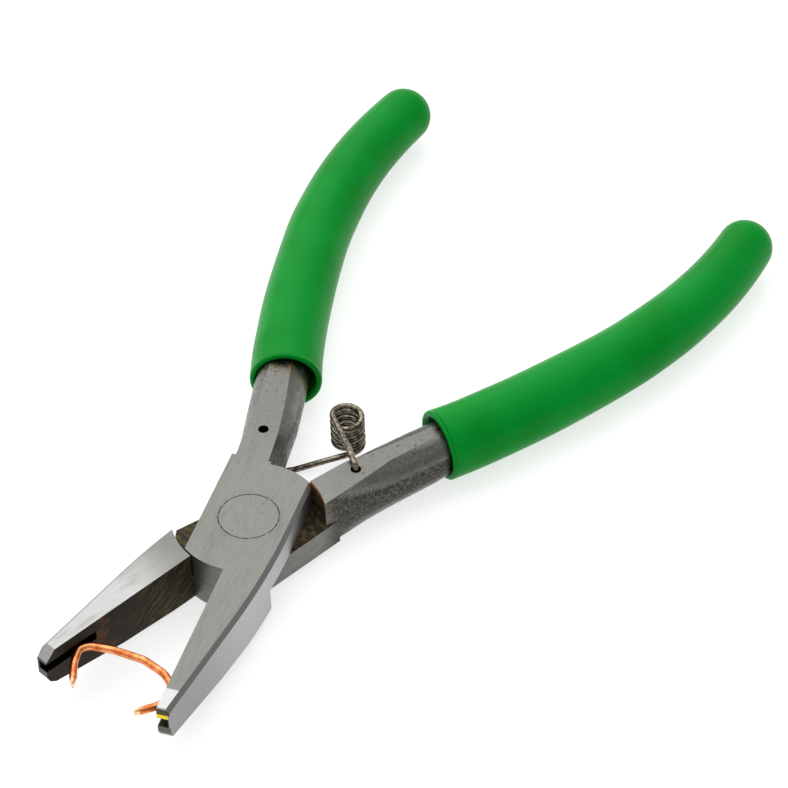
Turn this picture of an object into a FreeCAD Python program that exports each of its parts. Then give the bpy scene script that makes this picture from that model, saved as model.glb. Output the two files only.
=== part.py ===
import FreeCAD, Part
import math
import os

import Sketcher
from FreeCAD import Placement, Rotation, Vector

# Spring-return pliers with flat, grooved jaws. Units: millimetres.
#
# The row frame has its origin on the pivot axis, at the lower face of the head. +Z runs up the
# pivot, +Y between the two handles and -Y between the two jaws. Each half is drawn with the
# pliers shut, then turned about the pivot to the relaxed, open pose.
#
# The upper half is drawn with its jaw at x > 0 and its tang at x < 0. The lower half is a like
# forging turned over about the Y axis, so both come from one function. They differ where they
# were ground: each jaw's profile and groove stand the same way up in the open pliers.

SIZES = {
    # head
    "head_thickness": 9.2,
    "open_angle": 14.2,
    "lap_radius": 11.65,
    "lap_half_width": 7.1,
    "lap_gap": 0.06,
    "heel_end": 12.2,
    "heel_inner": 0.6,
    "recess_radius": 11.95,
    "edge_chamfer": 0.65,
    # the lower half's lap plate runs out past its flank, as far as this
    "ear_side": 9.2,
    "ear_along": 7.2,
    "ear_end": 4.5,
    # rivet
    "rivet_radius": 3.0,
    "rivet_head_radius": 4.65,
    "rivet_head_depth": 1.6,
    "running_gap": 0.05,
    # jaw, seen from above
    "jaw_face_gap": 0.06,
    "jaw_flank_start": 0.9,
    "jaw_flank_radius": 124.0,
    "jaw_bend_side": 5.2,
    "jaw_bend_along": 22.5,
    "jaw_tip_side": 2.1,
    "jaw_length": 40.9,
    # jaw, seen from the side, with the open pliers lying on their lower face
    "top_taper_start": 14.0,
    "top_drop": 0.25,
    "base_taper_start": 16.0,
    "base_knee_along": 26.0,
    "base_knee_rise": 0.5,
    "base_rise": 2.15,
    "nose_base_back": 1.6,
    "nose_base_rise": 1.75,
    "nose_knee_back": 0.5,
    "nose_knee_rise": 0.75,
    "upper_nose_corner": 0.3,
    "lower_nose_corner": 1.9,
    # groove for a ring in each jaw's inner face
    "groove_start": 31.0,
    "groove_middle": 6.05,
    "groove_height": 1.7,
    "groove_depth": 1.7,
    # hole for the spring's hooked end
    "hole_side": 4.2,
    "hole_along": 18.7,
    "hole_radius": 0.85,
    # plastic sleeve
    "sleeve_wall": 1.0,
    # return spring
    "spring_wire_radius": 0.5,
    "coil_radius": 2.3,
    "coil_along": 27.9,
    "coil_bottom": 1.15,
    "coil_top": 7.7,
    "coil_pitch": 1.38,
    "level_stretch": 4.4,
    "hook_bend": 1.0,
    "top_leg_height": 9.75,
    "top_hook_end": 5.6,
    "bottom_leg_height": -0.72,
    "bottom_hook_end": 3.6,
    # copper ring held between the jaws
    "ring_wire_radius": 0.62,
    "ring_bend": 4.0,
}

# Sections of the tang, from the head to its hidden end: distance beside and along the centre
# line of the shut pliers, half width, height of the ground outer face above mid height, half
# width of that face, and the same two for the rounder inner face.
TANG_FIELDS = ("side", "along", "half_width", "top", "top_flat", "bottom", "bottom_flat")
TANG_STATIONS = {
    "root": (3.55, 9.0, 3.05, 4.6, 2.8, 4.6, 2.8),
    "neck": (4.2, 18.4, 3.85, 4.6, 2.5, 4.6, 2.4),
    "bow": (5.0, 24.5, 4.25, 4.6, 2.3, 4.45, 1.5),
    "wrist": (6.05, 30.5, 4.3, 4.5, 2.0, 4.3, 1.2),
    "mouth": (6.8, 35.5, 4.1, 4.2, 1.6, 4.0, 1.0),
    "hold": (9.2, 47.0, 3.4, 3.5, 1.2, 3.4, 0.6),
    "waist": (12.3, 68.0, 2.9, 3.0, 1.0, 3.0, 0.6),
    "tail": (11.2, 92.0, 2.2, 2.6, 0.8, 2.6, 0.6),
}
LAND_HALF_HEIGHT = 0.3

# How far a cutting outline runs past the solid that it cuts.
CUT_MARGIN = 2.0

# What tells the jaw's two long flank edges from its other edges.
FLANK_TOLERANCE = 0.05
FLANK_SHORTEST_EDGE = 3.0

# Stations of the sleeve's centre line: beside and along the shut pliers, the way it points
# (degrees outward of +Y) and its outer radius.
SLEEVE_FIELDS = ("side", "along", "turn", "radius")
SLEEVE_STATIONS = {
    "rim": (6.15, 34.4, 16.5, 5.85),
    "lip": (7.1, 37.6, 16.5, 5.8),
    "palm": (9.1, 46.0, 12.5, 5.7),
    "swell": (11.35, 59.0, 8.0, 5.55),
    "belly": (12.8, 74.0, 1.0, 5.35),
    "heel": (11.85, 89.5, -9.0, 5.05),
    "tail": (8.5, 102.8, -19.0, 4.7),
}
DOME_STEPS = (18.0, 36.0, 54.0, 70.0, 82.0)

# The spring's bottom turn belongs to its bottom leg. The coil starts again after a short gap at
# the far side, so that the two can turn about each other.
BREAK_ANGLE = 127.0
BREAK_HALF_GAP = 27.0

# A bent wire follows straight runs joined by arcs. Each arc uses up to this share of its runs.
ARC_SHARE = 0.45
COIL_CORNERS_PER_TURN = 8

# The hand-bent copper ring in the row frame, from its cut end at the lower half's jaw, over the
# arch, to the one at the upper half's jaw.
RING_ROUTE = (
    (-4.8, -40.3),
    (-7.3, -36.5),
    (-8.35, -33.8),
    (-7.3, -32.4),
    (-3.6, -31.3),
    (1.4, -30.6),
    (5.6, -31.3),
    (8.8, -33.2),
    (9.1, -35.2),
    (8.4, -37.1),
    (6.2, -40.0),
)


class Term:
    """A length: its value now and the spreadsheet expression that drives it."""

    def __init__(self, value, text):
        self.value = value
        self.text = text

    def __add__(self, other):
        other = as_term(other)
        return Term(self.value + other.value, f"({self.text} + {other.text})")

    def __sub__(self, other):
        other = as_term(other)
        return Term(self.value - other.value, f"({self.text} - {other.text})")

    def __mul__(self, factor):
        return Term(self.value * factor, f"({self.text} * {factor})")

    def __neg__(self):
        return Term(-self.value, f"(-{self.text})")


def as_term(value):
    return value if isinstance(value, Term) else Term(value, str(value))


def make_sheet(doc):
    """Fill the spreadsheet and return its cells as terms."""
    sheet = doc.addObject("Spreadsheet::Sheet", "Sizes")
    cells = dict(SIZES)
    for prefix, fields, stations in (
        ("tang", TANG_FIELDS, TANG_STATIONS),
        ("sleeve", SLEEVE_FIELDS, SLEEVE_STATIONS),
    ):
        for station, values in stations.items():
            for field, value in zip(fields, values):
                cells[f"{prefix}_{station}_{field}"] = value
    for row, (alias, value) in enumerate(cells.items(), start=1):
        sheet.set(f"A{row}", alias.replace("_", " "))
        sheet.set(f"B{row}", str(value))
        sheet.setAlias(f"B{row}", alias)
    doc.recompute()
    return {alias: Term(value, f"Sizes.{alias}") for alias, value in cells.items()}


def station_terms(size, prefix, fields, station):
    return {field: size[f"{prefix}_{station}_{field}"] for field in fields}


def make_body(doc, label):
    body = doc.addObject("PartDesign::Body", label)
    body.Label = label
    return body


def add_sketch(body, name, role, height=None):
    """An empty sketch on one of the body's origin planes, raised along its normal."""
    planes = [item for item in body.Origin.OriginFeatures if item.Role == role]
    sketch = body.newObject("Sketcher::SketchObject", name)
    sketch.AttachmentSupport = (planes[0], [""])
    sketch.MapMode = "FlatFace"
    if height is not None:
        sketch.setExpression("AttachmentOffset.Base.z", height.text)
    return sketch


def pin_point(sketch, geometry, end, x, y):
    """Tie one point of the sketch to its two driving lengths."""
    for kind, term in (("DistanceX", x), ("DistanceY", y)):
        index = sketch.addConstraint(
            Sketcher.Constraint(kind, -1, 1, geometry, end, term.value)
        )
        sketch.setExpression(f"Constraints[{index}]", term.text)


def nearest_end(sketch, geometry, point):
    """Sketch arcs run anticlockwise, so find which end lies at the point."""
    first = sketch.getPoint(geometry, 1).distanceToPoint(point)
    second = sketch.getPoint(geometry, 2).distanceToPoint(point)
    return 1 if first <= second else 2


def arc_through(start, end, centre):
    chord_middle = (start + end) * 0.5
    outward = (chord_middle - centre).normalize()
    return Part.Arc(start, centre + outward * (start - centre).Length, end)


def draw_outline(sketch, corners, arcs=None):
    """Draw a closed outline. arcs maps an edge number to its rough centre and its last
    constraint: ("radius", term), or ("level", edge) for a centre level with that edge's end."""
    arcs = arcs or {}
    points = [Vector(x.value, y.value, 0) for x, y in corners]
    ends = []
    for index, start in enumerate(points):
        end = points[(index + 1) % len(points)]
        if index in arcs:
            curve = arc_through(start, end, arcs[index][0])
        else:
            curve = Part.LineSegment(start, end)
        geometry = sketch.addGeometry(curve, False)
        first = nearest_end(sketch, geometry, start)
        ends.append((geometry, first, 3 - first))
    for index, (geometry, first, _last) in enumerate(ends):
        before, _first, last = ends[index - 1]
        sketch.addConstraint(Sketcher.Constraint("Coincident", before, last, geometry, first))
        pin_point(sketch, geometry, first, *corners[index])
    for index, (_centre, kind, value) in arcs.items():
        geometry = ends[index][0]
        if kind == "radius":
            rule = sketch.addConstraint(Sketcher.Constraint("Radius", geometry, value.value))
            sketch.setExpression(f"Constraints[{rule}]", value.text)
        else:
            line, first, _last = ends[value]
            sketch.addConstraint(Sketcher.Constraint("Horizontal", geometry, 3, line, first))


def draw_box(sketch, low_x, low_y, high_x, high_y):
    draw_outline(sketch, [(low_x, low_y), (high_x, low_y), (high_x, high_y), (low_x, high_y)])


def draw_circle(sketch, radius, x=None, y=None):
    centre = Vector(x.value if x else 0, y.value if y else 0, 0)
    circle = sketch.addGeometry(Part.Circle(centre, Vector(0, 0, 1), radius.value), False)
    if x:
        pin_point(sketch, circle, 3, x, y)
    else:
        sketch.addConstraint(Sketcher.Constraint("Coincident", circle, 3, -1, 1))
    index = sketch.addConstraint(Sketcher.Constraint("Radius", circle, radius.value))
    sketch.setExpression(f"Constraints[{index}]", radius.text)


def add_pad(body, name, sketch, length):
    pad = body.newObject("PartDesign::Pad", name)
    pad.Profile = sketch
    pad.setExpression("Length", length.text)
    return pad


def add_pocket(body, name, sketch, length, symmetric=False):
    """Cut the sketch downwards, against its normal, or evenly to both sides of it."""
    pocket = body.newObject("PartDesign::Pocket", name)
    pocket.Profile = sketch
    pocket.setExpression("Length", length.text)
    if symmetric:
        pocket.SideType = "Symmetric"
    return pocket


def add_loft(body, kind, name, sketches):
    loft = body.newObject(f"PartDesign::{kind}", name)
    loft.Profile = sketches[0]
    loft.Sections = sketches[1:]
    loft.Ruled = True
    return loft


def add_lap(body, size, has_ear):
    """The half-thickness plate that turns on the rivet, with its heel towards the tang."""
    floor = size["head_thickness"] * 0.5 + size["lap_gap"] * 0.5
    depth = size["head_thickness"] - floor
    width = size["lap_half_width"]
    radius = size["lap_radius"]
    disc = add_sketch(body, "LapDisc", "XY_Plane", floor)
    draw_circle(disc, radius)
    add_pad(body, "LapDiscPad", disc, depth)
    inner_trim = add_sketch(body, "LapTrimInner", "XY_Plane", size["head_thickness"])
    draw_box(inner_trim, -width - radius, -radius, -width, radius)
    add_pocket(body, "LapTrimInnerPocket", inner_trim, depth)
    flank_trim = add_sketch(body, "LapTrimFlank", "XY_Plane", size["head_thickness"])
    if has_ear:
        inner, outer = (size["ear_side"], -size["ear_along"]), (width, size["ear_end"])
        arcs = None
    else:
        inner = (size["jaw_bend_side"], -size["jaw_bend_along"])
        outer = (width, -size["jaw_flank_start"])
        arcs = {0: flank_arc(size)}
    beyond = size["jaw_bend_side"] + radius
    corners = [inner, outer, (width, radius), (beyond, radius), (beyond, inner[1])]
    draw_outline(flank_trim, corners, arcs)
    add_pocket(body, "LapTrimFlankPocket", flank_trim, depth)
    heel = add_sketch(body, "Heel", "XY_Plane", floor)
    draw_box(heel, -width, -size["jaw_flank_start"], -size["heel_inner"], size["heel_end"])
    add_pad(body, "HeelPad", heel, depth)


def flank_arc(size):
    """The sweep of the jaw's flank, as draw_outline takes it."""
    radius = size["jaw_flank_radius"]
    centre = Vector(size["lap_half_width"].value - radius.value, -size["jaw_flank_start"].value)
    return centre, "radius", radius


def add_jaw(body, size):
    """The full-thickness jaw: a straight inner face and a flank that sweeps in to the tip."""
    face = size["jaw_face_gap"]
    width = size["lap_half_width"]
    start = size["jaw_flank_start"]
    sketch = add_sketch(body, "Jaw", "XY_Plane")
    corners = [
        (width, start),
        (face, start),
        (face, -size["jaw_length"]),
        (size["jaw_tip_side"], -size["jaw_length"]),
        (size["jaw_bend_side"], -size["jaw_bend_along"]),
        (width, -start),
    ]
    draw_outline(sketch, corners, {4: flank_arc(size)})
    add_pad(body, "JawPad", sketch, size["head_thickness"])


def add_tang(body, size):
    """The tang: a loft of oval sections with a ground flat outside and a rounder inner side."""
    middle = size["head_thickness"] * 0.5
    land = as_term(LAND_HALF_HEIGHT)
    sketches = []
    for station in TANG_STATIONS:
        part = station_terms(size, "tang", TANG_FIELDS, station)
        sketch = add_sketch(body, f"Tang_{station}", "XZ_Plane", -part["along"])
        x = -part["side"]
        left, right = x - part["half_width"], x + part["half_width"]
        high, low = middle + land, middle - land
        top, bottom = middle + part["top"], middle - part["bottom"]
        corners = [
            (x + part["top_flat"], top),
            (x - part["top_flat"], top),
            (left, high),
            (left, low),
            (x - part["bottom_flat"], bottom),
            (x + part["bottom_flat"], bottom),
            (right, low),
            (right, high),
        ]
        arcs = {}
        for edge, beside, level, sign, span, rise in (
            (1, left, 2, 1, "top_flat", "top"),
            (3, left, 3, 1, "bottom_flat", "bottom"),
            (5, right, 6, -1, "bottom_flat", "bottom"),
            (7, right, 7, -1, "top_flat", "top"),
        ):
            across = part["half_width"].value - part[span].value
            radius = (across**2 + (part[rise].value - land.value) ** 2) / (2 * across)
            centre = Vector(beside.value + sign * radius, corners[level][1].value, 0)
            arcs[edge] = (centre, "level", level)
        draw_outline(sketch, corners, arcs)
        sketches.append(sketch)
    add_loft(body, "AdditiveLoft", "TangLoft", sketches)


def add_recess(body, size):
    """Clear the other half's lap plate, which turns under this one."""
    floor = size["head_thickness"] * 0.5 + size["lap_gap"] * 0.5
    sketch = add_sketch(body, "Recess", "XY_Plane", floor)
    draw_circle(sketch, size["recess_radius"])
    add_pocket(body, "RecessPocket", sketch, size["head_thickness"])


def add_jaw_profile(body, size, nose_corner, height):
    """Cut the jaw's profile: a long taper below, a slight one above, and a blunt nose."""
    thick = size["head_thickness"]
    tip = -size["jaw_length"]
    beyond = tip - CUT_MARGIN
    nose_top = thick - size["top_drop"]
    base = size["base_rise"]
    profile = [
        (-size["top_taper_start"], thick),
        (tip + nose_corner, nose_top),
        (tip, nose_top - nose_corner),
        (tip, base + size["nose_base_rise"]),
        (tip + size["nose_knee_back"], base + size["nose_knee_rise"]),
        (tip + size["nose_base_back"], base),
        (-size["base_knee_along"], size["base_knee_rise"]),
        (-size["base_taper_start"], as_term(0.0)),
        (-size["base_taper_start"], as_term(-CUT_MARGIN)),
        (beyond, as_term(-CUT_MARGIN)),
        (beyond, thick + CUT_MARGIN),
        (-size["top_taper_start"], thick + CUT_MARGIN),
    ]
    sketch = add_sketch(body, "JawProfile", "YZ_Plane")
    draw_outline(sketch, [(along, height(level)) for along, level in profile])
    add_pocket(body, "JawProfilePocket", sketch, size["lap_half_width"] * 4, symmetric=True)


def add_groove(body, size, height):
    """A groove along the inner face of the jaw, open at the nose, that holds a wire ring."""
    middle = height(size["groove_middle"])
    half = size["groove_height"] * 0.5
    sketch = add_sketch(body, "RingGroove", "YZ_Plane")
    beyond = -size["jaw_length"] - CUT_MARGIN
    draw_box(sketch, beyond, middle - half, -size["groove_start"], middle + half)
    add_pocket(body, "RingGroovePocket", sketch, size["groove_depth"] * 2, symmetric=True)


def add_holes(body, size):
    """The stepped rivet hole and the small hole for the spring's hook."""
    thick = size["head_thickness"]
    gap = size["running_gap"]
    bore = add_sketch(body, "RivetBore", "XY_Plane", thick)
    draw_circle(bore, size["rivet_radius"] + gap)
    add_pocket(body, "RivetBorePocket", bore, thick)
    seat = add_sketch(body, "RivetSeat", "XY_Plane", thick)
    draw_circle(seat, size["rivet_head_radius"] + gap)
    add_pocket(body, "RivetSeatPocket", seat, size["rivet_head_depth"] + gap)
    hook = add_sketch(body, "SpringHole", "XY_Plane", thick)
    draw_circle(hook, size["hole_radius"], -size["hole_side"], size["hole_along"])
    add_pocket(body, "SpringHolePocket", hook, thick)


def flank_side(size, y):
    """How far the jaw's flank stands from the pivot plane at a place along the jaw."""
    width, radius = size["lap_half_width"].value, size["jaw_flank_radius"].value
    start, bend = -size["jaw_flank_start"].value, -size["jaw_bend_along"].value
    if y > start:
        return width
    if y > bend:
        return width - radius + math.sqrt(radius**2 - (y - start) ** 2)
    share = (y - bend) / (-size["jaw_length"].value - bend)
    bend_side, tip_side = size["jaw_bend_side"].value, size["jaw_tip_side"].value
    return bend_side + share * (tip_side - bend_side)


def is_flank_edge(edge, size):
    """True for the long outer edges of the jaw, above and below its flank."""
    ends = [vertex.Point for vertex in edge.Vertexes]
    offsets = [abs(point.x - flank_side(size, point.y)) for point in ends]
    middle = size["head_thickness"].value / 2
    outside = all(abs(point.z - middle) > middle / 2 for point in ends)
    same_face = abs(ends[0].z - ends[-1].z) < middle / 2
    long_enough = edge.Length > FLANK_SHORTEST_EDGE
    return max(offsets) < FLANK_TOLERANCE and outside and same_face and long_enough


def add_flank_chamfer(doc, body, size):
    doc.recompute()
    edges = body.Tip.Shape.Edges
    names = [f"Edge{n}" for n, edge in enumerate(edges, start=1) if is_flank_edge(edge, size)]
    base = body.Tip
    chamfer = body.newObject("PartDesign::Chamfer", "FlankChamfer")
    chamfer.Base = (base, names)
    chamfer.setExpression("Size", size["edge_chamfer"].text)


def make_half(doc, size, label, placement, turned_over):
    """One forging. A half that is turned over has its jaw ground from the other face."""

    def height(level):
        return size["head_thickness"] - level if turned_over else level

    body = make_body(doc, label)
    add_lap(body, size, has_ear=turned_over)
    add_jaw(body, size)
    add_tang(body, size)
    add_recess(body, size)
    nose_corner = size["lower_nose_corner" if turned_over else "upper_nose_corner"]
    add_jaw_profile(body, size, nose_corner, height)
    add_groove(body, size, height)
    add_holes(body, size)
    add_flank_chamfer(doc, body, size)
    body.Placement = placement
    return body


def make_rivet(doc, size):
    """The flush rivet: a shaft with a flat head sunk into each half."""
    thick = size["head_thickness"]
    wide, narrow = size["rivet_head_radius"], size["rivet_radius"]
    depth = size["rivet_head_depth"]
    body = make_body(doc, "pivot_rivet")
    for name, height, radius, length in (
        ("Shaft", depth, narrow, thick - depth * 2),
        ("LowerHead", None, wide, depth),
        ("UpperHead", thick - depth, wide, depth),
    ):
        sketch = add_sketch(body, name, "XY_Plane", height)
        draw_circle(sketch, radius)
        add_pad(body, name + "Pad", sketch, length)
    return body


def add_ring_sketch(body, name, size, station, radius, beyond=0.0):
    """A circle square to the sleeve's centre line at a station, or some way beyond it."""
    part = station_terms(size, "sleeve", SLEEVE_FIELDS, station)
    turn = math.radians(part["turn"].value)
    sketch = add_sketch(body, name, "XZ_Plane")
    draw_circle(sketch, radius)
    side = -part["side"] - math.sin(turn) * beyond
    along = -part["along"] - math.cos(turn) * beyond
    middle = size["head_thickness"] * 0.5
    offset = Vector(side.value, middle.value, along.value)
    sketch.AttachmentOffset = Placement(offset, Rotation(Vector(0, 1, 0), part["turn"].value))
    for axis, term in (("x", side), ("y", middle), ("z", along)):
        sketch.setExpression(f"AttachmentOffset.Base.{axis}", term.text)
    sketch.setExpression("AttachmentOffset.Rotation.Angle", part["turn"].text)
    return sketch


def make_sleeve(doc, size, label, placement):
    """A dipped plastic sleeve: a curved tube, open at the head end, domed at the other."""
    body = make_body(doc, label)
    outer = []
    inner = []
    for station in SLEEVE_STATIONS:
        radius = size[f"sleeve_{station}_radius"]
        outer.append(add_ring_sketch(body, f"Outer_{station}", size, station, radius))
        bore = radius - size["sleeve_wall"]
        inner.append(add_ring_sketch(body, f"Inner_{station}", size, station, bore))
    tail = size["sleeve_tail_radius"]
    for step, degrees in enumerate(DOME_STEPS, start=1):
        angle = math.radians(degrees)
        radius = tail * math.cos(angle)
        beyond = tail.value * math.sin(angle)
        outer.append(add_ring_sketch(body, f"Dome_{step}", size, "tail", radius, beyond))
    add_loft(body, "AdditiveLoft", "OuterLoft", outer)
    add_loft(body, "SubtractiveLoft", "InnerLoft", inner)
    body.Placement = placement
    return body


def rounded_edges(points, limits):
    """Straight runs joined by tangent arcs, as large as the runs and each corner's limit allow."""
    edges = []
    here = points[0]
    for before, corner, after, largest in zip(points, points[1:], points[2:], limits):
        towards = (corner - before).normalize()
        onward = (after - corner).normalize()
        half_turn = towards.getAngle(onward) / 2
        room = ARC_SHARE * min((corner - before).Length, (after - corner).Length)
        radius = min(room / math.tan(half_turn), largest)
        setback = radius * math.tan(half_turn)
        arc_start = corner - towards * setback
        arc_end = corner + onward * setback
        inward = (onward - towards).normalize()
        arc_middle = corner + inward * (radius / math.cos(half_turn) - radius)
        edges.append(Part.LineSegment(here, arc_start).toShape())
        edges.append(Part.Arc(arc_start, arc_middle, arc_end).toShape())
        here = arc_end
    edges.append(Part.LineSegment(here, points[-1]).toShape())
    return edges


def sweep_wire(edges, radius):
    """A round wire along edges that meet tangentially."""
    route = Part.Wire(edges)
    first = route.Edges[0]
    start = first.valueAt(first.FirstParameter)
    heading = first.tangentAt(first.FirstParameter)
    section = Part.Wire([Part.Circle(start, heading, radius).toShape()])
    return route.makePipeShell([section], True, False)


def tangent_angle(centre, point, radius, side):
    """Where the line from an outside point touches the coil, as an angle about its axis."""
    away = point - centre
    spread = math.acos(radius / math.hypot(away.x, away.y))
    return math.atan2(away.y, away.x) + side * spread


def coil_point(centre, radius, angle, height):
    return centre + Vector(radius * math.cos(angle), radius * math.sin(angle), height)


def coil_route(centre, radius, first, last, height_at):
    """The coil's start and then its corners, on sides that touch its mean circle."""
    count = round(abs(last - first) / (2 * math.pi) * COIL_CORNERS_PER_TURN)
    step = (last - first) / count
    reach = radius / math.cos(step / 2)
    angles = [first + step * (index + 0.5) for index in range(count)]
    corners = [coil_point(centre, reach, angle, height_at(angle)) for angle in angles]
    return [coil_point(centre, radius, first, height_at(first)), *corners]


def leg_route(size, leave, hole, end):
    """A leg's corners: where it levels out, over its hole, and its end in the hole."""
    over_hole = Vector(hole.x, hole.y, size[f"{end}_leg_height"].value)
    back = leave - over_hole
    back.z = 0
    level = over_hole + back.normalize() * size["level_stretch"].value
    return [level, over_hole, Vector(hole.x, hole.y, size[f"{end}_hook_end"].value)]


def hole_centre(size, side):
    """The spring's hole in the half whose handle is on the given side, in the open pose."""
    turn = Rotation(Vector(0, 0, 1), -side * size["open_angle"].value)
    return turn.multVec(Vector(side * size["hole_side"].value, size["hole_along"].value, 0))


def add_spring_wire(doc, size, label, coil, hole, end):
    """One node of the spring: its turns, and the leg that hooks into its hole."""
    leg = leg_route(size, coil[-1], hole, end)
    limits = [size["coil_radius"].value] * (len(coil) - 1) + [size["hook_bend"].value] * 2
    edges = rounded_edges(coil + leg, limits)
    add_solid(doc, label, sweep_wire(edges, size["spring_wire_radius"].value))


def make_spring(doc, size):
    """The return spring, as its coil with the top leg and its bottom turn with the other."""
    radius = size["coil_radius"].value
    bottom = size["coil_bottom"].value
    rise = size["coil_pitch"].value / (2 * math.pi)
    centre = Vector(0, size["coil_along"].value, 0)
    lower_hole, upper_hole = hole_centre(size, 1), hole_centre(size, -1)
    full_turn = 2 * math.pi

    turn_start = math.radians(BREAK_ANGLE - BREAK_HALF_GAP)
    coil_start = math.radians(BREAK_ANGLE + BREAK_HALF_GAP)
    bottom_angle = tangent_angle(centre, upper_hole, radius, 1)
    bottom_angle = turn_start - (turn_start - bottom_angle) % full_turn
    top_angle = tangent_angle(centre, lower_hole, radius, -1)
    full_height_angle = bottom_angle + (size["coil_top"].value - bottom) / rise
    top_angle += full_turn * round((full_height_angle - top_angle) / full_turn)

    def helix_height(angle):
        return bottom + rise * (angle - bottom_angle)

    coil = coil_route(centre, radius, coil_start, top_angle, helix_height)
    add_spring_wire(doc, size, "spring_coil", coil, lower_hole, "top")
    last_turn = coil_route(centre, radius, turn_start, bottom_angle, lambda _angle: bottom)
    add_spring_wire(doc, size, "spring_leg", last_turn, upper_hole, "bottom")


def make_ring(doc, size):
    """The open copper ring: an arch and two legs that turn in towards their cut ends."""
    level = size["groove_middle"].value
    points = [Vector(x, y, level) for x, y in RING_ROUTE]
    edges = rounded_edges(points, [size["ring_bend"].value] * len(points))
    add_solid(doc, "copper_ring", sweep_wire(edges, size["ring_wire_radius"].value))


def add_solid(doc, label, shape):
    feature = doc.addObject("Part::Feature", label)
    feature.Label = label
    feature.Shape = shape.Solids[0] if len(shape.Solids) == 1 else shape
    return feature


def half_placements(size):
    """The upper half turned open, and the lower half turned over and open the other way."""
    angle = size["open_angle"].value
    up = Vector(0, 0, 1)
    upper = Placement(Vector(0, 0, 0), Rotation(up, angle))
    turned_over = Placement(
        Vector(0, 0, size["head_thickness"].value), Rotation(Vector(0, 1, 0), 180)
    )
    lower = Placement(Vector(0, 0, 0), Rotation(up, -angle)).multiply(turned_over)
    return upper, lower


def check_document(doc):
    """Stop if any object failed to recompute."""
    for item in doc.Objects:
        if "Invalid" in item.State or "Error" in item.State:
            raise RuntimeError(f"{item.Label} failed: {item.State}")


def write_parts(doc):
    parts = [
        item
        for item in doc.Objects
        if item.TypeId == "PartDesign::Body"
        or (item.TypeId == "Part::Feature" and not item.InList)
    ]
    for item in parts:
        if item.Shape.isNull() or not item.Shape.isValid():
            raise RuntimeError(f"{item.Label} has a bad shape")
    os.makedirs("parts", exist_ok=True)
    for item in parts:
        item.Shape.exportStep(f"parts/{item.Label}.step")
        box = item.Shape.BoundBox
        print(
            f"{item.Label}: {item.Shape.Volume:.1f} mm3, {len(item.Shape.Solids)} solid,"
            f" x {box.XMin:.1f}..{box.XMax:.1f}, y {box.YMin:.1f}..{box.YMax:.1f},"
            f" z {box.ZMin:.2f}..{box.ZMax:.2f}"
        )


def main():
    doc = FreeCAD.newDocument("Pliers")
    size = make_sheet(doc)
    upper, lower = half_placements(size)
    make_half(doc, size, "upper_half", upper, turned_over=False)
    make_half(doc, size, "lower_half", lower, turned_over=True)
    make_rivet(doc, size)
    make_sleeve(doc, size, "upper_grip", upper)
    make_sleeve(doc, size, "lower_grip", lower)
    make_spring(doc, size)
    make_ring(doc, size)
    doc.recompute()
    check_document(doc)
    write_parts(doc)


main()
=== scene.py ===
import math

import bpy
from mathutils import Matrix, Quaternion, Vector, noise


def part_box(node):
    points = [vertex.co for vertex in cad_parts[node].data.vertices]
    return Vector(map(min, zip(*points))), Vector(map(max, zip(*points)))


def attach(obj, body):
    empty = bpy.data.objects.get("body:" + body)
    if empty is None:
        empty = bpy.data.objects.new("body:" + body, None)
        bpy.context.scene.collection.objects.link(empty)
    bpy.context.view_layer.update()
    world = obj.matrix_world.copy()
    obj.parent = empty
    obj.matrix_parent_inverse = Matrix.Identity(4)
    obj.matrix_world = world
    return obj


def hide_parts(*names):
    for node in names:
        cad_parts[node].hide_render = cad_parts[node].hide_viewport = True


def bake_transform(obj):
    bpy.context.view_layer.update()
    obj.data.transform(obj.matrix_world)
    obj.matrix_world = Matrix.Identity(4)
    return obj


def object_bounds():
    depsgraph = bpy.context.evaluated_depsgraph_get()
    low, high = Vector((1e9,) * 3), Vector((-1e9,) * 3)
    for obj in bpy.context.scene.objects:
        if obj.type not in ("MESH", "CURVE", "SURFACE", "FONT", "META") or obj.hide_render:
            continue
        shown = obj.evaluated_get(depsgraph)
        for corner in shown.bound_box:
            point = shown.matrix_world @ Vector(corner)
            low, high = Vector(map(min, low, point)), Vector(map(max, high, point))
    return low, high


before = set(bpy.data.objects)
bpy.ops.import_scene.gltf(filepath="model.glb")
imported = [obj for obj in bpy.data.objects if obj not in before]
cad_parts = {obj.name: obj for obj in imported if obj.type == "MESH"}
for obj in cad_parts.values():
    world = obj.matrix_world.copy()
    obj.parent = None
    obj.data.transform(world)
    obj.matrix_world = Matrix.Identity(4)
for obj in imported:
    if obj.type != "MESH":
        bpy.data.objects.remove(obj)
cad_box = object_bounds()

# Ring-holding flat nose pliers, open. Lengths are millimetres where they carry the MM factor or are
# given to it, and metres in Blender. "Shut frame" means the frame of one forging with the pliers
# shut: jaw at x > 0, tang at x < 0. The lower half is a like forging turned over.

MM = 0.001
UP = Vector((0, 0, 1))
OPEN_ANGLE = math.radians(14.2)
HEAD_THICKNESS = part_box("pivot_rivet")[1].z / MM
MIDDLE = HEAD_THICKNESS / 2
FLOOR_HEIGHT = cad_box[0].z

# ---------------------------------------------------------------------------------------------
# Shut frame to row frame
# ---------------------------------------------------------------------------------------------

SIDES = {"upper": 1, "lower": -1}


def shut_to_row(side):
    """The matrix that opens one forging, turning it over first for the lower half."""
    opened = Matrix.Rotation(SIDES[side] * OPEN_ANGLE, 4, "Z")
    if side == "upper":
        return opened
    over = Matrix.Translation((0, 0, HEAD_THICKNESS)) @ Matrix.Rotation(math.pi, 4, "Y")
    return opened @ over


# ---------------------------------------------------------------------------------------------
# Material nodes
# ---------------------------------------------------------------------------------------------


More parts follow.
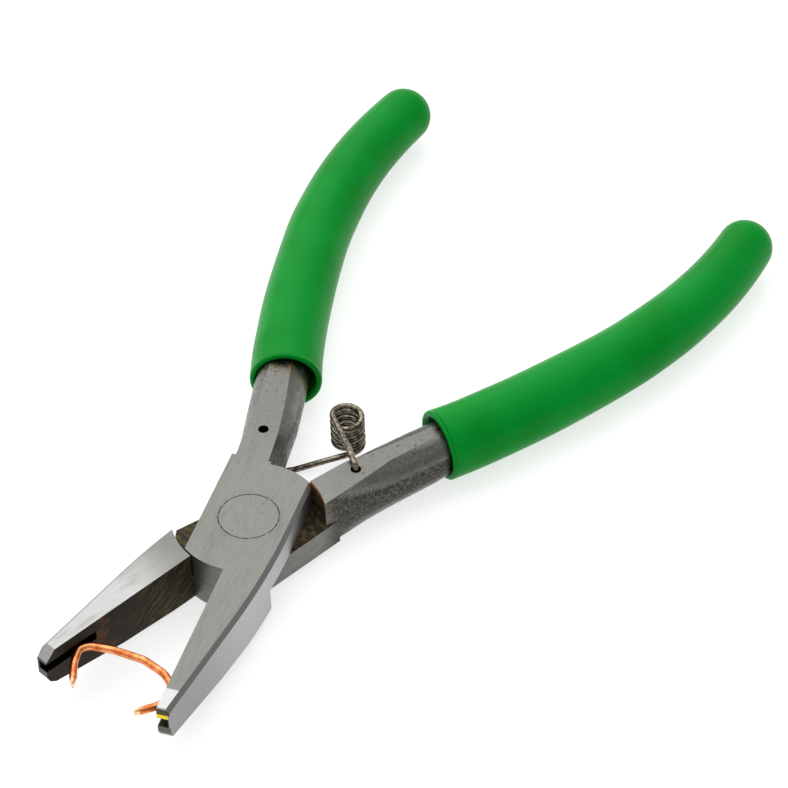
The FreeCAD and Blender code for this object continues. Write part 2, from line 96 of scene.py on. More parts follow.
class Paint:
    """A material with a Principled shader, and short calls that add nodes and return sockets."""

    def __init__(self, name):
        self.material = bpy.data.materials.new(name)
        self.material.use_nodes = True
        self.tree = self.material.node_tree
        self.shader = self.tree.nodes["Principled BSDF"]

    def add(self, kind, **settings):
        node = self.tree.nodes.new(kind)
        for key, value in settings.items():
            setattr(node, key, value)
        return node

    def feed(self, socket, value):
        if isinstance(value, bpy.types.NodeSocket):
            self.tree.links.new(value, socket)
        elif value is not None:
            socket.default_value = value

    def math(self, operation, first, second=None):
        node = self.add("ShaderNodeMath", operation=operation)
        self.feed(node.inputs[0], first)
        self.feed(node.inputs[1], second)
        return node.outputs[0]

    def vector_math(self, operation, first, second):
        node = self.add("ShaderNodeVectorMath", operation=operation)
        self.feed(node.inputs[0], first)
        self.feed(node.inputs[1], second)
        return node.outputs[0]

    def turn(self, vector, angle):
        node = self.add("ShaderNodeVectorRotate", rotation_type="Z_AXIS")
        self.feed(node.inputs["Vector"], vector)
        node.inputs["Angle"].default_value = angle
        return node.outputs[0]

    def split(self, vector):
        node = self.add("ShaderNodeSeparateXYZ")
        self.feed(node.inputs[0], vector)
        return node.outputs

    def ramp(self, value, low, high, to_low=0.0, to_high=1.0):
        """A smooth step from to_low to to_high as the value goes from low to high."""
        node = self.add("ShaderNodeMapRange", interpolation_type="SMOOTHSTEP")
        for socket, number in zip(node.inputs, (value, low, high, to_low, to_high)):
            self.feed(socket, number)
        return node.outputs[0]

    def band(self, value, low, high, soft):
        """1 between low and high, fading to 0 outside them."""
        rise = self.ramp(value, low - soft, low)
        fall = self.ramp(value, high, high + soft, 1.0, 0.0)
        return self.math("MULTIPLY", rise, fall)

    def both(self, first, *others):
        """The product of masks and shares."""
        for other in others:
            first = self.math("MULTIPLY", first, other)
        return first

    def blend(self, share, first, second):
        node = self.add("ShaderNodeMix", data_type="RGBA")
        self.feed(node.inputs["Factor"], share)
        colours = [socket for socket in node.inputs if socket.type == "RGBA"]
        for socket, colour in zip(colours, (first, second)):
            self.feed(socket, (*colour, 1.0) if isinstance(colour, tuple) else colour)
        return [socket for socket in node.outputs if socket.type == "RGBA"][0]

    def mix_number(self, share, first, second):
        node = self.add("ShaderNodeMix", data_type="FLOAT")
        self.feed(node.inputs[0], share)
        self.feed(node.inputs["A"], first)
        self.feed(node.inputs["B"], second)
        return node.outputs[0]

    def noise(self, vector, scale, detail=3.0, roughness=0.55):
        node = self.add("ShaderNodeTexNoise")
        self.feed(node.inputs["Vector"], vector)
        node.inputs["Scale"].default_value = scale
        node.inputs["Detail"].default_value = detail
        node.inputs["Roughness"].default_value = roughness
        return node.outputs[0]

    def place(self):
        """The point in the piece's own frame, in millimetres."""
        coordinates = self.add("ShaderNodeTexCoord").outputs["Object"]
        return self.vector_math("MULTIPLY", coordinates, (1 / MM,) * 3)

    def bump(self, height, distance, strength=1.0):
        node = self.add("ShaderNodeBump")
        self.feed(node.inputs["Height"], height)
        node.inputs["Distance"].default_value = distance
        node.inputs["Strength"].default_value = strength
        self.feed(self.shader.inputs["Normal"], node.outputs[0])

    def finish(self, **values):
        """Set the shader's sockets, named with underscores for spaces."""
        for name, value in values.items():
            if isinstance(value, tuple):
                value = (*value, 1.0)
            self.feed(self.shader.inputs[name.replace("_", " ")], value)
        return self.material


# How finely noise repeats across, along and up the jaws, for grinding lines and for scuffs.
GROUND_LINES = (6.0, 0.2, 0.6)
SCUFF_LINES = (0.5, 0.12, 0.3)
OIL_STREAKS = (1, 0.25, 2.2)
STREAK_SLANT = math.radians(35)

GROUND_STEEL = (0.165, 0.165, 0.15)
LINE_STEEL = (0.27, 0.27, 0.25)
SCUFF_STEEL = (0.11, 0.11, 0.095)
# Painted reflection: the lower jaw's top is lightened towards its tip, where its grinding catches the
# light.
PAINTED_SHEEN_STEEL = (0.40, 0.40, 0.395)
POLISHED_STEEL = (0.46, 0.46, 0.45)
FLANK_STEEL = (0.36, 0.36, 0.37)
FLANK_LIGHT = (0.48, 0.48, 0.49)
CHAMFER_STEEL = (0.2, 0.2, 0.195)
# Near black: old oil, and painted shade in the laps, the recess wall, the inner faces and the groove.
OIL_AND_SHADE_STEEL = (0.024, 0.019, 0.012)
OLIVE_STAIN = (0.075, 0.06, 0.024)
RUST = (0.45, 0.15, 0.03)
SCALE_DARK = (0.03, 0.029, 0.024)
SCALE_LIGHT = (0.115, 0.11, 0.095)
# Yellow: brass residue, and on the upper nose also a painted reflection of the copper ring.
YELLOW_RESIDUE_AND_REFLECTION = (0.75, 0.58, 0.03)
BROWN_RESIDUE = (0.22, 0.12, 0.02)

# Where each look begins and ends, in the shut frame, in millimetres.
PAINTED_SHEEN_START = (-12.0, -24.0)
POLISHED_START = (-36.5, -36.9)
NOSE_START = (-40.7, -40.85)
GROOVE_START = (-30.9, -31.1)
GROOVE_DEPTH = (1.95, 1.85)
TANG_START = {"upper": (15.0, 24.0), "lower": (13.5, 19.0)}
JAW_ROOT = (-27.0, -19.0)
RECESS_RADII = (11.2, 12.2)
RIVET_RING_RADII = (4.58, 4.78)
RIVET_HALO_RADII = (4.7, 5.2)

# Heights above the lower face of the open pliers, the same for both jaws.
GROOVE_SPAN = (5.15, 6.95)
YELLOW_SPAN = (6.95, 7.7)

GROUND_ROUGHNESS = 0.42
OILED_ROUGHNESS = 0.6


class SteelPaint(Paint):
    """The paint of one forging, with the values in the shut frame that its masks share."""

    def __init__(self, side):
        super().__init__(f"{side}_steel")
        self.side = side
        self.point = self.shut(self.place(), HEAD_THICKNESS)
        self.x, self.y, self.z = self.split(self.point)
        normal = self.shut(self.add("ShaderNodeTexCoord").outputs["Normal"], 0)
        self.nx, self.ny, self.nz = self.split(normal)
        self.steep = self.math("ABSOLUTE", self.nz)
        squares = [self.math("MULTIPLY", value, value) for value in (self.x, self.y)]
        self.radial = self.math("SQRT", self.math("ADD", *squares))
        self.level = self.z if side == "upper" else self.math("SUBTRACT", HEAD_THICKNESS, self.z)
        self.nose = self.ramp(self.y, *NOSE_START)
        self.jaw_root = self.ramp(self.y, *JAW_ROOT)
        self.lines = self.noise(self.vector_math("MULTIPLY", self.point, GROUND_LINES), 1.6, 4.0, 0.6)
        self.grain = self.noise(self.point, 5.0, 3.0, 0.65)
        self.blotches = self.noise(self.point, 0.45, 4.0, 0.6)
        self.mottle = self.noise(self.point, 1.3, 4.0, 0.6)

    def shut(self, vector, lift):
        """A vector of the open pliers in the shut frame. A point is lifted when turned over."""
        vector = self.turn(vector, -SIDES[self.side] * OPEN_ANGLE)
        if self.side == "upper":
            return vector
        vector = self.vector_math("MULTIPLY", vector, (-1, 1, -1))
        return self.vector_math("ADD", vector, (0, 0, lift))

    def ground_colour(self):
        """Grinding lines and scuffs, with a painted reflection lightening the lower jaw towards its
        tip. The upper one is brighter at its tip.
        """
        colour = GROUND_STEEL
        # Painted reflection on the lower jaw's top, lighter towards the tip.
        if self.side == "lower":
            colour = self.blend(self.ramp(self.y, *PAINTED_SHEEN_START), colour, PAINTED_SHEEN_STEEL)
        scuffs = self.noise(self.vector_math("MULTIPLY", self.point, SCUFF_LINES), 1.0, 2.0)
        colour = self.blend(self.ramp(self.lines, 0.38, 0.72, 0.0, 0.4), colour, LINE_STEEL)
        colour = self.blend(self.ramp(scuffs, 0.5, 0.75, 0.0, 0.3), colour, SCUFF_STEEL)
        if self.side == "upper":
            polished = self.both(self.ramp(self.y, *POLISHED_START), self.ramp(self.nz, 0.6, 0.75))
            colour = self.blend(polished, colour, POLISHED_STEEL)
        return colour

    def add_flank(self, colour):
        """The jaw's side, darker towards the tip, and the chamfer along it."""
        flank = self.blend(self.ramp(self.grain, 0.35, 0.7), FLANK_STEEL, FLANK_LIGHT)
        flank = self.blend(self.ramp(self.y, -16.0, -36.0, 0.0, 0.5), flank, GROUND_STEEL)
        is_flank = self.both(self.ramp(self.steep, 0.5, 0.3), self.ramp(self.x, 0.4, 1.2))
        is_chamfer = self.both(
            self.band(self.steep, 0.55, 0.82, 0.08),
            self.ramp(self.nx, 0.35, 0.5),
            self.ramp(self.y, 9.0, 6.0),
        )
        return self.blend(is_chamfer, self.blend(is_flank, colour, flank), CHAMFER_STEEL)

    def tang_mask(self):
        """The forged tang, with an uneven edge on top and a sharp one down its sides."""
        uneven = self.math("ADD", self.y, self.math("MULTIPLY", self.blotches, 5.0))
        steep_side = self.both(
            self.ramp(self.steep, 0.9, 0.6),
            self.ramp(self.y, 8.0, 12.5),
            self.ramp(self.x, 5.0, 3.0),
        )
        return self.math("MAXIMUM", self.ramp(uneven, *TANG_START[self.side]), steep_side)

    def tang_colour(self):
        """Dark scale with a painted highlight along the rounded shoulders, worn off the flat land."""
        speckle = self.noise(self.point, 2.4, 3.0, 0.7)
        # Painted highlight along the tang's rounded shoulders.
        shoulder_highlight = self.both(self.band(self.steep, 0.4, 0.75, 0.18), 0.45)
        land = self.both(self.ramp(self.steep, 0.8, 0.97), self.ramp(self.mottle, 0.25, 0.5), 0.95)
        colour = self.blend(self.ramp(speckle, 0.38, 0.68), SCALE_DARK, SCALE_LIGHT)
        return self.blend(land, self.blend(shoulder_highlight, colour, LINE_STEEL), GROUND_STEEL)

    def add_mouth_residue(self, colour):
        """Brown residue where the tang goes into its sleeve."""
        patches = self.ramp(self.blotches, 0.45, 0.6, 0.0, 0.8)
        return self.blend(self.both(self.ramp(self.y, 31.0, 34.5), patches), colour, BROWN_RESIDUE)

    def inner_face_mask(self):
        return self.both(
            self.ramp(self.nx, -0.6, -0.85),
            self.ramp(self.y, -5.0, -8.0),
            self.ramp(self.x, 2.0, 1.2),
        )

    def lap_floor_mask(self):
        return self.both(
            self.band(self.z, MIDDLE - 0.3, MIDDLE + 0.3, 0.1),
            self.ramp(self.steep, 0.7, 0.9),
            self.ramp(self.radial, 13.5, 12.5),
        )

    def recess_wall_mask(self):
        """The round wall that faces the pivot."""
        across, along = (
            self.math("MULTIPLY", normal, place)
            for normal, place in ((self.nx, self.x), (self.ny, self.y))
        )
        outward = self.math("DIVIDE", self.math("ADD", across, along), self.radial)
        return self.both(self.band(self.radial, *RECESS_RADII, 0.1), self.ramp(outward, -0.8, -0.95))

    def stain_and_shade_colour(self):
        """Old oil, near black as well for painted shade on the laps, the recess wall and the inner
        faces, with olive streaks and a little rust towards the jaw's root and by the ring.
        """
        slanting = self.add("ShaderNodeVectorRotate", rotation_type="X_AXIS")
        self.feed(slanting.inputs["Vector"], self.point)
        slanting.inputs["Angle"].default_value = STREAK_SLANT
        stretched = self.vector_math("MULTIPLY", slanting.outputs[0], OIL_STREAKS)
        streaks = self.ramp(self.noise(stretched, 0.8, 3.0), 0.46, 0.6)
        by_ring = self.both(
            self.band(self.y, -31.0, -28.0, 2.0), self.ramp(self.blotches, 0.45, 0.6, 0.0, 0.14)
        )
        by_root = self.both(self.jaw_root, self.ramp(self.mottle, 0.58, 0.72, 0.0, 0.4))
        colour = self.blend(self.both(self.jaw_root, streaks), OIL_AND_SHADE_STEEL, OLIVE_STAIN)
        return self.blend(self.math("MAXIMUM", by_ring, by_root), colour, RUST)

    def add_rivet_ring(self, colour):
        """Oil that has crept out round the rivet's head."""
        level_face = self.ramp(self.steep, 0.8, 0.95)
        halo = self.both(
            self.band(self.radial, *RIVET_HALO_RADII, 0.6),
            level_face,
            self.ramp(self.grain, 0.5, 0.7, 0.0, 0.6),
        )
        ring = self.both(
            self.band(self.radial, *RIVET_RING_RADII, 0.08),
            level_face,
            self.ramp(self.mottle, 0.36, 0.48),
        )
        return self.blend(ring, self.blend(halo, colour, OLIVE_STAIN), OIL_AND_SHADE_STEEL)

    def add_upper_nose(self, colour):
        """A yellow strip above the groove, brass residue with a painted reflection of the copper
        ring, olive above that and dark steel below.
        """
        above = self.both(self.nose, self.ramp(self.level, 7.7, 7.8))
        below = self.both(self.nose, self.ramp(self.level, 5.3, 5.1))
        # The yellow strip: brass residue and a painted reflection of the copper ring.
        strip = self.both(
            self.nose, self.band(self.level, *YELLOW_SPAN, 0.04), self.ramp(self.x, 1.85, 1.75)
        )
        colour = self.blend(above, colour, OLIVE_STAIN)
        colour = self.blend(below, colour, SCUFF_STEEL)
        return self.blend(strip, colour, YELLOW_RESIDUE_AND_REFLECTION)

    def add_lower_nose(self, colour):
        """An oily nose with yellow specks near its top."""
        oil = self.both(self.nose, self.ramp(self.level, 7.6, 7.2, 0.0, 0.8))
        specks = self.both(
            self.nose, self.ramp(self.level, 7.3, 7.6), self.ramp(self.grain, 0.5, 0.6)
        )
        return self.blend(specks, self.blend(oil, colour, OIL_AND_SHADE_STEEL), YELLOW_RESIDUE_AND_REFLECTION)

    # The inside of the groove, where painted shade goes.
    def groove_shade_mask(self):
        return self.both(
            self.band(self.level, *GROOVE_SPAN, 0.03),
            self.ramp(self.x, *GROOVE_DEPTH),
            self.ramp(self.x, 0.05, 0.15),
            self.ramp(self.y, *GROOVE_START),
        )

    def add_relief(self, is_tang):
        """Grinding lines on the ground faces and forged scale on the tang."""
        ground = self.math("MULTIPLY", self.lines, self.ramp(is_tang, 0.0, 1.0, 0.35, 0.0))
        forged = self.math("MULTIPLY", self.mottle, is_tang)
        self.bump(self.math("ADD", ground, forged), 0.12 * MM, 0.5)


def steel_paint(side):
    """Forged steel: ground faces, dark chamfers, laps and inner faces near black for old oil and
    painted shade, and scaly tangs.
    """
    paint = SteelPaint(side)
    is_tang = paint.tang_mask()
    recess_wall = paint.recess_wall_mask()
    lap = paint.math("MAXIMUM", paint.lap_floor_mask(), recess_wall)
    # Inner faces, lap floor and recess wall: old oil and painted shade between the halves.
    oiled_and_shaded = paint.math("MAXIMUM", paint.inner_face_mask(), lap)
    rust_rim = paint.both(
        recess_wall, paint.ramp(paint.mottle, 0.3, 0.5), paint.ramp(paint.z, 1.0, 0.4)
    )

    colour = paint.add_flank(paint.ground_colour())
    colour = paint.blend(is_tang, colour, paint.tang_colour())
    if side == "upper":
        colour = paint.add_mouth_residue(colour)
    colour = paint.blend(oiled_and_shaded, colour, paint.stain_and_shade_colour())
    colour = paint.blend(rust_rim, colour, RUST)
    colour = paint.add_rivet_ring(colour)
    colour = paint.add_upper_nose(colour) if side == "upper" else paint.add_lower_nose(colour)
    # Painted shade: the inside of the groove is painted near black.
    colour = paint.blend(paint.groove_shade_mask(), colour, OIL_AND_SHADE_STEEL)

    forged = paint.ramp(paint.mottle, 0.3, 0.7, 0.28, 0.5)
    dry = paint.mix_number(is_tang, GROUND_ROUGHNESS, forged)
    paint.add_relief(is_tang)
    return paint.finish(
        Base_Color=colour,
        Roughness=paint.mix_number(oiled_and_shaded, dry, OILED_ROUGHNESS),
        Metallic=paint.mix_number(oiled_and_shaded, 1.0, 0.15),
        Specular_IOR_Level=paint.mix_number(oiled_and_shaded, 0.5, 0.15),
    )


def rivet_paint():
    """The rivet's ground-flush head, with its own grinding lines and a few dings."""
    paint = Paint("rivet_steel")
    point = paint.turn(paint.place(), -OPEN_ANGLE)
    lines = paint.noise(paint.vector_math("MULTIPLY", point, GROUND_LINES), 1.6, 4.0, 0.6)
    dings = paint.noise(point, 1.1, 2.0)
    colour = paint.blend(paint.ramp(lines, 0.38, 0.72, 0.0, 0.4), GROUND_STEEL, LINE_STEEL)
    colour = paint.blend(paint.ramp(dings, 0.55, 0.7, 0.0, 0.35), colour, SCUFF_STEEL)
    paint.bump(lines, 0.05 * MM, 0.5)
    return paint.finish(Base_Color=colour, Roughness=GROUND_ROUGHNESS, Metallic=1.0)


def sleeve_paint():
    """Glossy dipped vinyl with slow changes of depth in its green."""
    paint = Paint("green_vinyl")
    point = paint.place()
    slow = paint.noise(point, 0.06, 2.0)
    fine = paint.noise(point, 1.3, 3.0)
    colour = paint.blend(paint.ramp(slow, 0.35, 0.65), (0.0, 0.20, 0.012), (0.0, 0.25, 0.024))
    colour = paint.blend(paint.ramp(fine, 0.55, 0.8, 0.0, 0.12), colour, (0.002, 0.30, 0.04))
    paint.bump(paint.noise(point, 0.7, 3.0), 0.05 * MM, 0.35)
    return paint.finish(
        Base_Color=colour,
        Roughness=paint.ramp(fine, 0.3, 0.7, 0.26, 0.36),
        Specular_IOR_Level=0.06,
    )


def spring_paint():
    """Drawn spring wire with a dull bronze tint and darker spots."""
    paint = Paint("spring_wire")
    point = paint.place()
    spots = paint.noise(point, 1.4, 4.0, 0.65)
    colour = paint.blend(paint.ramp(spots, 0.38, 0.62), (0.06, 0.052, 0.038), (0.26, 0.225, 0.17))
    paint.bump(paint.noise(point, 3.0, 2.0), 0.03 * MM, 0.4)
    rough = paint.ramp(spots, 0.3, 0.7, 0.34, 0.22)
    return paint.finish(Base_Color=colour, Roughness=rough, Metallic=1.0)


def copper_paint():
    """Bare copper wire, brighter where it is rubbed."""
    paint = Paint("copper_wire")
    point = paint.place()
    rubbed = paint.noise(point, 0.8, 3.0, 0.6)
    colour = paint.blend(paint.ramp(rubbed, 0.35, 0.65), (0.60, 0.15, 0.045), (0.90, 0.34, 0.13))
    paint.bump(paint.noise(point, 3.5, 2.0), 0.03 * MM, 0.35)
    rough = paint.ramp(rubbed, 0.3, 0.7, 0.34, 0.2)
    return paint.finish(Base_Color=colour, Roughness=rough, Metallic=1.0)


def cut_copper_paint():
    """The bright pinched ends that a cutter leaves."""
    paint = Paint("cut_copper")
    marks = paint.noise(paint.place(), 2.5, 2.0)
    colour = paint.blend(paint.ramp(marks, 0.35, 0.65), (0.95, 0.45, 0.2), (1.0, 0.7, 0.45))
    return paint.finish(Base_Color=colour, Roughness=0.3, Metallic=1.0)


def floor_paint():
    """A plain white table with hardly any texture."""
    paint = Paint("white_table")
    fibres = paint.noise(paint.place(), 0.05, 3.0)
    colour = paint.blend(paint.ramp(fibres, 0.3, 0.7), (0.42, 0.42, 0.42), (0.44, 0.44, 0.44))
    return paint.finish(
        Base_Color=colour, Roughness=0.7, Emission_Color=(1.0, 1.0, 1.0), Emission_Strength=0.69
    )


# ---------------------------------------------------------------------------------------------
# Meshes
# ---------------------------------------------------------------------------------------------


def skin(name, rings, paint, matrix=None):
    """A closed mesh through rings of equal length, capped at both ends, from millimetres."""
    count = len(rings[0])
    points = [point * MM for ring in rings for point in ring]
    faces = [tuple(range(count)), tuple(range(len(points) - 1, len(points) - count - 1, -1))]
    for row in range(len(rings) - 1):
        for step in range(count):
            near, far = row * count, (row + 1) * count
            after = (step + 1) % count
            faces.append((near + after, near + step, far + step, far + after))
    mesh = bpy.data.meshes.new(name)
    mesh.from_pydata(points, [], faces)
    if matrix:
        mesh.transform(Matrix.Scale(MM, 4) @ matrix @ Matrix.Scale(1 / MM, 4))
    mesh.shade_smooth()
    mesh.materials.append(paint)
    piece = bpy.data.objects.new(name, mesh)
    bpy.context.scene.collection.objects.link(piece)
    return piece


def circle(centre, across, upward, radius, count, flatten=1.0):
    """Points round a centre; flatten under 1 pinches the circle along upward."""
    angles = [2 * math.pi * step / count for step in range(count)]
    return [
        centre + across * (radius * math.cos(a)) + upward * (radius * flatten * math.sin(a))
        for a in angles
    ]


def headings(route):
    """Unit tangents of a route of points."""
    ahead = route[1:] + [route[-1] * 2 - route[-2]]
    behind = [route[0] * 2 - route[1]] + route[:-1]
    return [(after - before).normalized() for before, after in zip(behind, ahead)]


def tube_rings(route, radius, count, first_side):
    """Rings round a route, each turned no more than the route turns."""
    tangents = headings(route)
    side = (first_side - tangents[0] * first_side.dot(tangents[0])).normalized()
    rings = []
    for index, (point, tangent) in enumerate(zip(route, tangents)):
        if index:
            side.rotate(tangents[index - 1].rotation_difference(tangent))
        rings.append((point, side.copy(), tangent.cross(side)))
    return [circle(point, across, upward, radius, count) for point, across, upward in rings]


def rounded_route(points, largest, steps=8):
    """A route of straight runs with each corner replaced by an arc."""
    share = 0.45
    route = [points[0]]
    for before, corner, after in zip(points, points[1:], points[2:]):
        towards, onward = (corner - before).normalized(), (after - corner).normalized()
        half_turn = towards.angle(onward) / 2
        room = share * min((corner - before).length, (after - corner).length)
        setback = min(room, largest * math.tan(half_turn))
        start, end = corner - towards * setback, corner + onward * setback
        for step in range(steps + 1):
            along = step / steps
            first, second = start.lerp(corner, along), corner.lerp(end, along)
            route.append(first.lerp(second, along))
    return route + [points[-1]]


# ---------------------------------------------------------------------------------------------
# Green sleeves
# ---------------------------------------------------------------------------------------------

# The centre line of a sleeve in the shut frame, as in the CAD part: beside and along the pliers,
# degrees outward of +Y, and the outer radius.
SLEEVE_STATIONS = (
    (6.15, 34.4, 16.5, 5.85),
    (7.1, 37.6, 16.5, 5.8),
    (9.1, 46.0, 12.5, 5.7),
    (11.35, 59.0, 8.0, 5.55),
    (12.8, 74.0, 1.0, 5.35),
    (11.85, 89.5, -9.0, 5.05),
    (8.5, 102.8, -19.0, 4.7),
)
SLEEVE_WALL = 1.0
SLEEVE_SEGMENTS = 72
SPAN_STEPS = 12
SKIN_UNEVENNESS = 0.09
SLEEVE_SEEDS = {"upper": 3.0, "lower": 11.0}
# The rounded mouth: share of the wall outward, and millimetres back from the rim.
LIP_PROFILE = (
    (0.0, 0.6),
    (0.05, 0.25),
    (0.22, 0.06),
    (0.5, 0.0),
    (0.78, 0.06),
    (0.95, 0.25),
    (1.0, 0.6),
)


def station_point(side, along):
    return Vector((-side, along, MIDDLE))


def station_heading(degrees):
    turn = math.radians(degrees)
    return Vector((-math.sin(turn), math.cos(turn), 0))


def sleeve_line():
    """Centre, heading and outer radius at close steps along the sleeve."""
    line = []
    for near, far in zip(SLEEVE_STATIONS, SLEEVE_STATIONS[1:]):
        start, end = station_point(*near[:2]), station_point(*far[:2])
        reach = (end - start).length
        leave, arrive = station_heading(near[2]) * reach, station_heading(far[2]) * reach
        for step in range(SPAN_STEPS):
            u = step / SPAN_STEPS
            centre = (
                start * (2 * u**3 - 3 * u**2 + 1)
                + leave * (u**3 - 2 * u**2 + u)
                + end * (3 * u**2 - 2 * u**3)
                + arrive * (u**3 - u**2)
            )
            heading = station_heading(near[2] + (far[2] - near[2]) * u)
            line.append((centre, heading, near[3] + (far[3] - near[3]) * u))
    last = SLEEVE_STATIONS[-1]
    line.append((station_point(*last[:2]), station_heading(last[2]), last[3]))
    return line


def swollen(point, centre, seed):
    """Dipping leaves the skin slightly uneven."""
    away = (point - centre).normalized()
    return point + away * SKIN_UNEVENNESS * noise.noise(point * 0.11 + Vector((seed, 0, 0)))


def make_sleeve(side, paint, seed):
    """A dipped sleeve: inner skin, rounded lip, outer skin and domed end."""
    line = sleeve_line()
    rings = []

    def add_ring(centre, heading, radius):
        ring = circle(centre, heading.cross(UP), UP, radius, SLEEVE_SEGMENTS)
        rings.append([swollen(point, centre, seed) for point in ring])

    for centre, heading, radius in reversed(line[2:]):
        add_ring(centre, heading, radius - SLEEVE_WALL)
    mouth, heading, radius = line[0]
    for outward, back in LIP_PROFILE:
        add_ring(mouth + heading * back, heading, radius - SLEEVE_WALL * (1 - outward))
    for centre, heading, radius in line[2:]:
        add_ring(centre, heading, radius)
    tail, heading, radius = line[-1]
    for degrees in range(8, 89, 8):
        angle = math.radians(degrees)
        add_ring(tail + heading * radius * math.sin(angle), heading, radius * math.cos(angle))
    sleeve = skin(f"{side}_sleeve", rings, paint, shut_to_row(side))
    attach(sleeve, f"{side}_half")
    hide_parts(f"{side}_grip")


# ---------------------------------------------------------------------------------------------
# Return spring
# ---------------------------------------------------------------------------------------------

SPRING_WIRE = 0.5
COIL_RADIUS = 2.3
COIL_CENTRE = Vector((0, 27.9, 0))
COIL_BOTTOM, COIL_TOP, COIL_PITCH = 1.15, 7.7, 1.38
HOLE_SIDE, HOLE_ALONG = 4.2, 18.7
TOP_LEG_HEIGHT, TOP_HOOK_END = 9.75, 5.6
BOTTOM_LEG_HEIGHT, BOTTOM_HOOK_END = -0.72, 3.6
LEG_LEVEL = 4.4
HOOK_BEND = 1.0
# The coil starts where the bottom turn ends, and the bottom turn runs on inside it by OVERLAP.
COIL_START = math.radians(154)
OVERLAP = math.radians(12)
TURN_STEPS = 40


def spring_hole(sign):
    """Where a hook goes in, in the row frame."""
    return Matrix.Rotation(-sign * OPEN_ANGLE, 3, "Z") @ Vector((sign * HOLE_SIDE, HOLE_ALONG, 0))


def touch_angle(hole, sign):
    """Where the leg's line touches the coil."""
    away = hole - COIL_CENTRE
    return math.atan2(away.y, away.x) + sign * math.acos(COIL_RADIUS / away.length)


def helix(first, last, lowest_angle):
    """Points on the coil between two angles."""
    count = max(2, round(abs(last - first) / (2 * math.pi) * TURN_STEPS))
    points = []
    for step in range(count + 1):
        angle = first + (last - first) * step / count
        height = COIL_BOTTOM + COIL_PITCH * (angle - lowest_angle) / (2 * math.pi)
        around = Vector((math.cos(angle), math.sin(angle), 0)) * COIL_RADIUS
        points.append(COIL_CENTRE + around + UP * height)
    return points


def hooked_leg(leave, hole, height, hook_end):
    """From the coil to the level stretch over the hole, and down into it."""
    corner = hole + UP * height
    back = leave - corner
    back.z = 0
    level = corner + back.normalized() * LEG_LEVEL
    return rounded_route([leave, level, corner, hole + UP * hook_end], HOOK_BEND)[1:]


def make_spring(paint):
    """The spring's two nodes: the coil with its top leg, and the bottom turn with its leg."""
    upper_hole, lower_hole = spring_hole(-1), spring_hole(1)
    full = 2 * math.pi
    bottom = touch_angle(upper_hole, 1)
    bottom = COIL_START - (COIL_START - bottom) % full
    top = touch_angle(lower_hole, -1)
    wanted = bottom + (COIL_TOP - COIL_BOTTOM) / COIL_PITCH * full
    top += full * round((wanted - top) / full)

    coil = helix(COIL_START, top, bottom)
    coil += hooked_leg(coil[-1], lower_hole, TOP_LEG_HEIGHT, TOP_HOOK_END)
    turn = helix(COIL_START + OVERLAP, bottom, bottom)
    turn += hooked_leg(turn[-1], upper_hole, BOTTOM_LEG_HEIGHT, BOTTOM_HOOK_END)
    for name, route in (("spring_coil", coil), ("spring_leg", turn)):
        rings = tube_rings(route, SPRING_WIRE, 16, UP)
        piece = skin(f"{name}_wire", rings, paint)
        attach(piece, name)
        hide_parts(name)


# ---------------------------------------------------------------------------------------------
# Copper ring
# ---------------------------------------------------------------------------------------------

RING_WIRE = 0.62
RING_LEVEL = 6.05
RING_BEND = 4.0
# The bend runs this far to each side.
# From the cut end at the lower half's jaw, over the arch, to the one at the upper half's jaw.
RING_ROUTE = (
    (-4.8, -40.3),
    (-7.3, -36.5),
    (-8.35, -33.8),
    (-7.3, -32.4),
    (-3.6, -31.3),
    (1.4, -30.6),
    (5.6, -31.3),
    (8.8, -33.2),
    (9.1, -35.2),
    (8.4, -37.1),
    (6.2, -40.0),
)
# The ends narrow to a share of the wire's width over PINCH_LENGTH, and are bright over CUT_FACET.
PINCH_LENGTH = 1.4
CUT_WIDTH = 0.3
CUT_FACET = 1.0


def ring_route():
    """The arch and its two legs, as one line with rounded bends."""
    return rounded_route([Vector((x, y, RING_LEVEL)) for x, y in RING_ROUTE], RING_BEND, 10)


def pinched(rings, route):
    """Narrow the wire to an edge towards its two cut ends."""
    made = []
    for ring, centre in zip(rings, route):
        to_end = min((centre - route[0]).length, (centre - route[-1]).length)
        keep = min(1.0, CUT_WIDTH + (1 - CUT_WIDTH) * to_end / PINCH_LENGTH)
        narrowed = Vector((keep, keep, 1))
        made.append([centre + (point - centre) * narrowed for point in ring])
    return made


def with_close_ends(route):
    """More points near both ends, where the wire is pinched."""

    def split(end, inner):
        return [end.lerp(inner, share) for share in (0.12, 0.25, 0.5)]

    first, last = split(route[0], route[1]), split(route[-1], route[-2])
    return [route[0], *first, *route[1:-1], *reversed(last), route[-1]]


def make_ring(paint, cut_paint):
    """The open copper ring, bending from one jaw to the other."""
    route = with_close_ends(ring_route())
    rings = pinched(tube_rings(route, RING_WIRE, 24, UP), route)
    ring = skin("open_copper_ring", rings, paint)
    ring.data.materials.append(cut_paint)
    for face in ring.data.polygons:
        ends = [(face.center / MM - end).length for end in (route[0], route[-1])]
        if min(ends) < CUT_FACET:
            face.material_index = 1
    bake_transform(ring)
    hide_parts("copper_ring")


# ---------------------------------------------------------------------------------------------
# Stage, light and camera
# ---------------------------------------------------------------------------------------------

CAMERA_TARGET = Vector((4.76, 34.35, 9.2)) * MM
CAMERA_AZIMUTH, CAMERA_ELEVATION = math.radians(33.75), math.radians(44)
CAMERA_ROLL = math.radians(-2.06)
CAMERA_DISTANCE = 0.6346
SENSOR = 36.0
FOCAL = 182.74
KEY_PLACE = Vector((-0.6, 0.4, 1.1))
KEY_SIZE = 1.9
KEY_POWER = 13.0
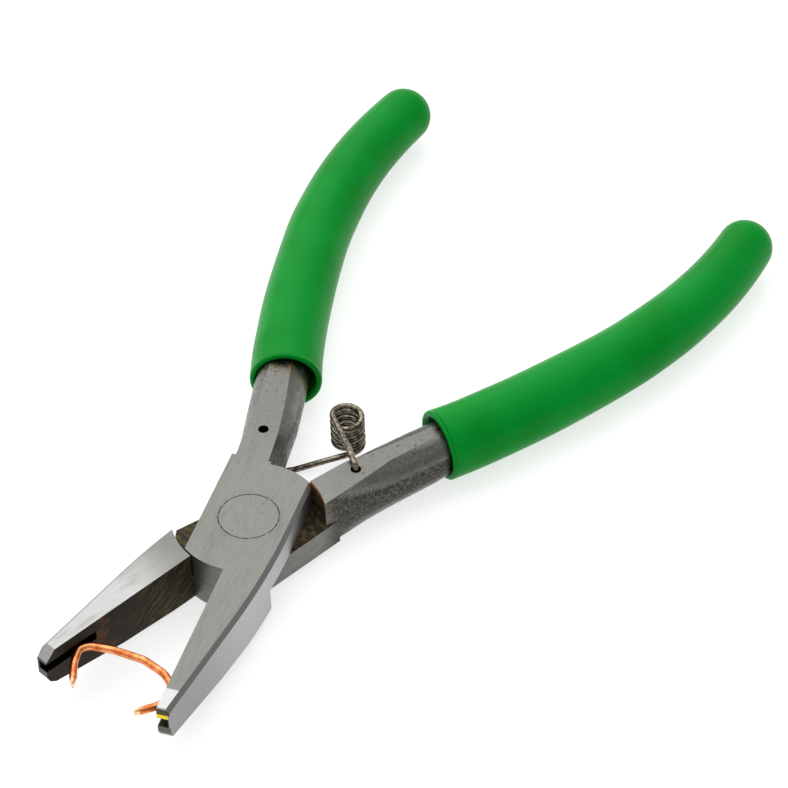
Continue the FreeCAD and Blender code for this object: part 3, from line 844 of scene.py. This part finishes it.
# The studio is brightest this way. Its strength goes through STRENGTH_SPAN as the cosine of the
# angle from there goes through WAY_SPAN.
BRIGHT_WAY = Vector((-0.62, 0.30, 0.72)).normalized()
WAY_SPAN = (-0.6, 0.75)
STRENGTH_SPAN = (0.28, 1.0)


def make_floor(paint):
    half = 2.0
    corners = [(-half, -half), (half, -half), (half, half), (-half, half)]
    mesh = bpy.data.meshes.new("table_top")
    mesh.from_pydata([(x, y, FLOOR_HEIGHT) for x, y in corners], [], [(0, 1, 2, 3)])
    mesh.materials.append(paint)
    floor = bpy.data.objects.new("table_top", mesh)
    bpy.context.scene.collection.objects.link(floor)


def make_world():
    """A white studio that is darker low down and away from its bright side."""
    world = bpy.data.worlds.new("studio")
    world.use_nodes = True
    tree = world.node_tree
    background = tree.nodes["Background"]
    place = tree.nodes.new("ShaderNodeTexCoord")
    dot = tree.nodes.new("ShaderNodeVectorMath")
    dot.operation = "DOT_PRODUCT"
    dot.inputs[1].default_value = BRIGHT_WAY
    tree.links.new(place.outputs["Generated"], dot.inputs[0])
    ramp = tree.nodes.new("ShaderNodeMapRange")
    for socket, value in zip(list(ramp.inputs)[1:], WAY_SPAN + STRENGTH_SPAN):
        socket.default_value = value
    tree.links.new(dot.outputs["Value"], ramp.inputs[0])
    tree.links.new(ramp.outputs[0], background.inputs["Strength"])
    background.inputs["Color"].default_value = (1.0, 1.0, 1.0, 1.0)
    bpy.context.scene.world = world


def add_area_light(name, place, size, power):
    """A soft square light that looks at the middle of the pliers."""
    light = bpy.data.lights.new(name, "AREA")
    light.size = size
    light.energy = power
    lamp = bpy.data.objects.new(name, light)
    lamp.location = place
    lamp.rotation_euler = (CAMERA_TARGET - lamp.location).to_track_quat("-Z", "Y").to_euler()
    bpy.context.scene.collection.objects.link(lamp)


def make_camera():
    data = bpy.data.cameras.new("photo_view")
    data.sensor_width = SENSOR
    data.lens = FOCAL
    camera = bpy.data.objects.new("photo_view", data)
    flat = math.cos(CAMERA_ELEVATION)
    back = Vector((
        math.sin(CAMERA_AZIMUTH) * flat, -math.cos(CAMERA_AZIMUTH) * flat, math.sin(CAMERA_ELEVATION)
    ))
    facing = back.to_track_quat("Z", "Y") @ Quaternion((0, 0, 1), CAMERA_ROLL)
    camera.location = CAMERA_TARGET + back * CAMERA_DISTANCE
    camera.rotation_euler = facing.to_euler()
    bpy.context.scene.collection.objects.link(camera)
    bpy.context.scene.camera = camera


def repaint(node, paint):
    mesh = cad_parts[node].data
    mesh.materials.clear()
    mesh.materials.append(paint)


make_camera()
make_world()
add_area_light("key", KEY_PLACE, KEY_SIZE, KEY_POWER)
make_floor(floor_paint())
for side in SIDES:
    repaint(f"{side}_half", steel_paint(side))
repaint("pivot_rivet", rivet_paint())
vinyl = sleeve_paint()
for side, seed in SLEEVE_SEEDS.items():
    make_sleeve(side, vinyl, seed)
make_spring(spring_paint())
make_ring(copper_paint(), cut_copper_paint())
bpy.context.scene.view_settings.view_transform = "Standard"
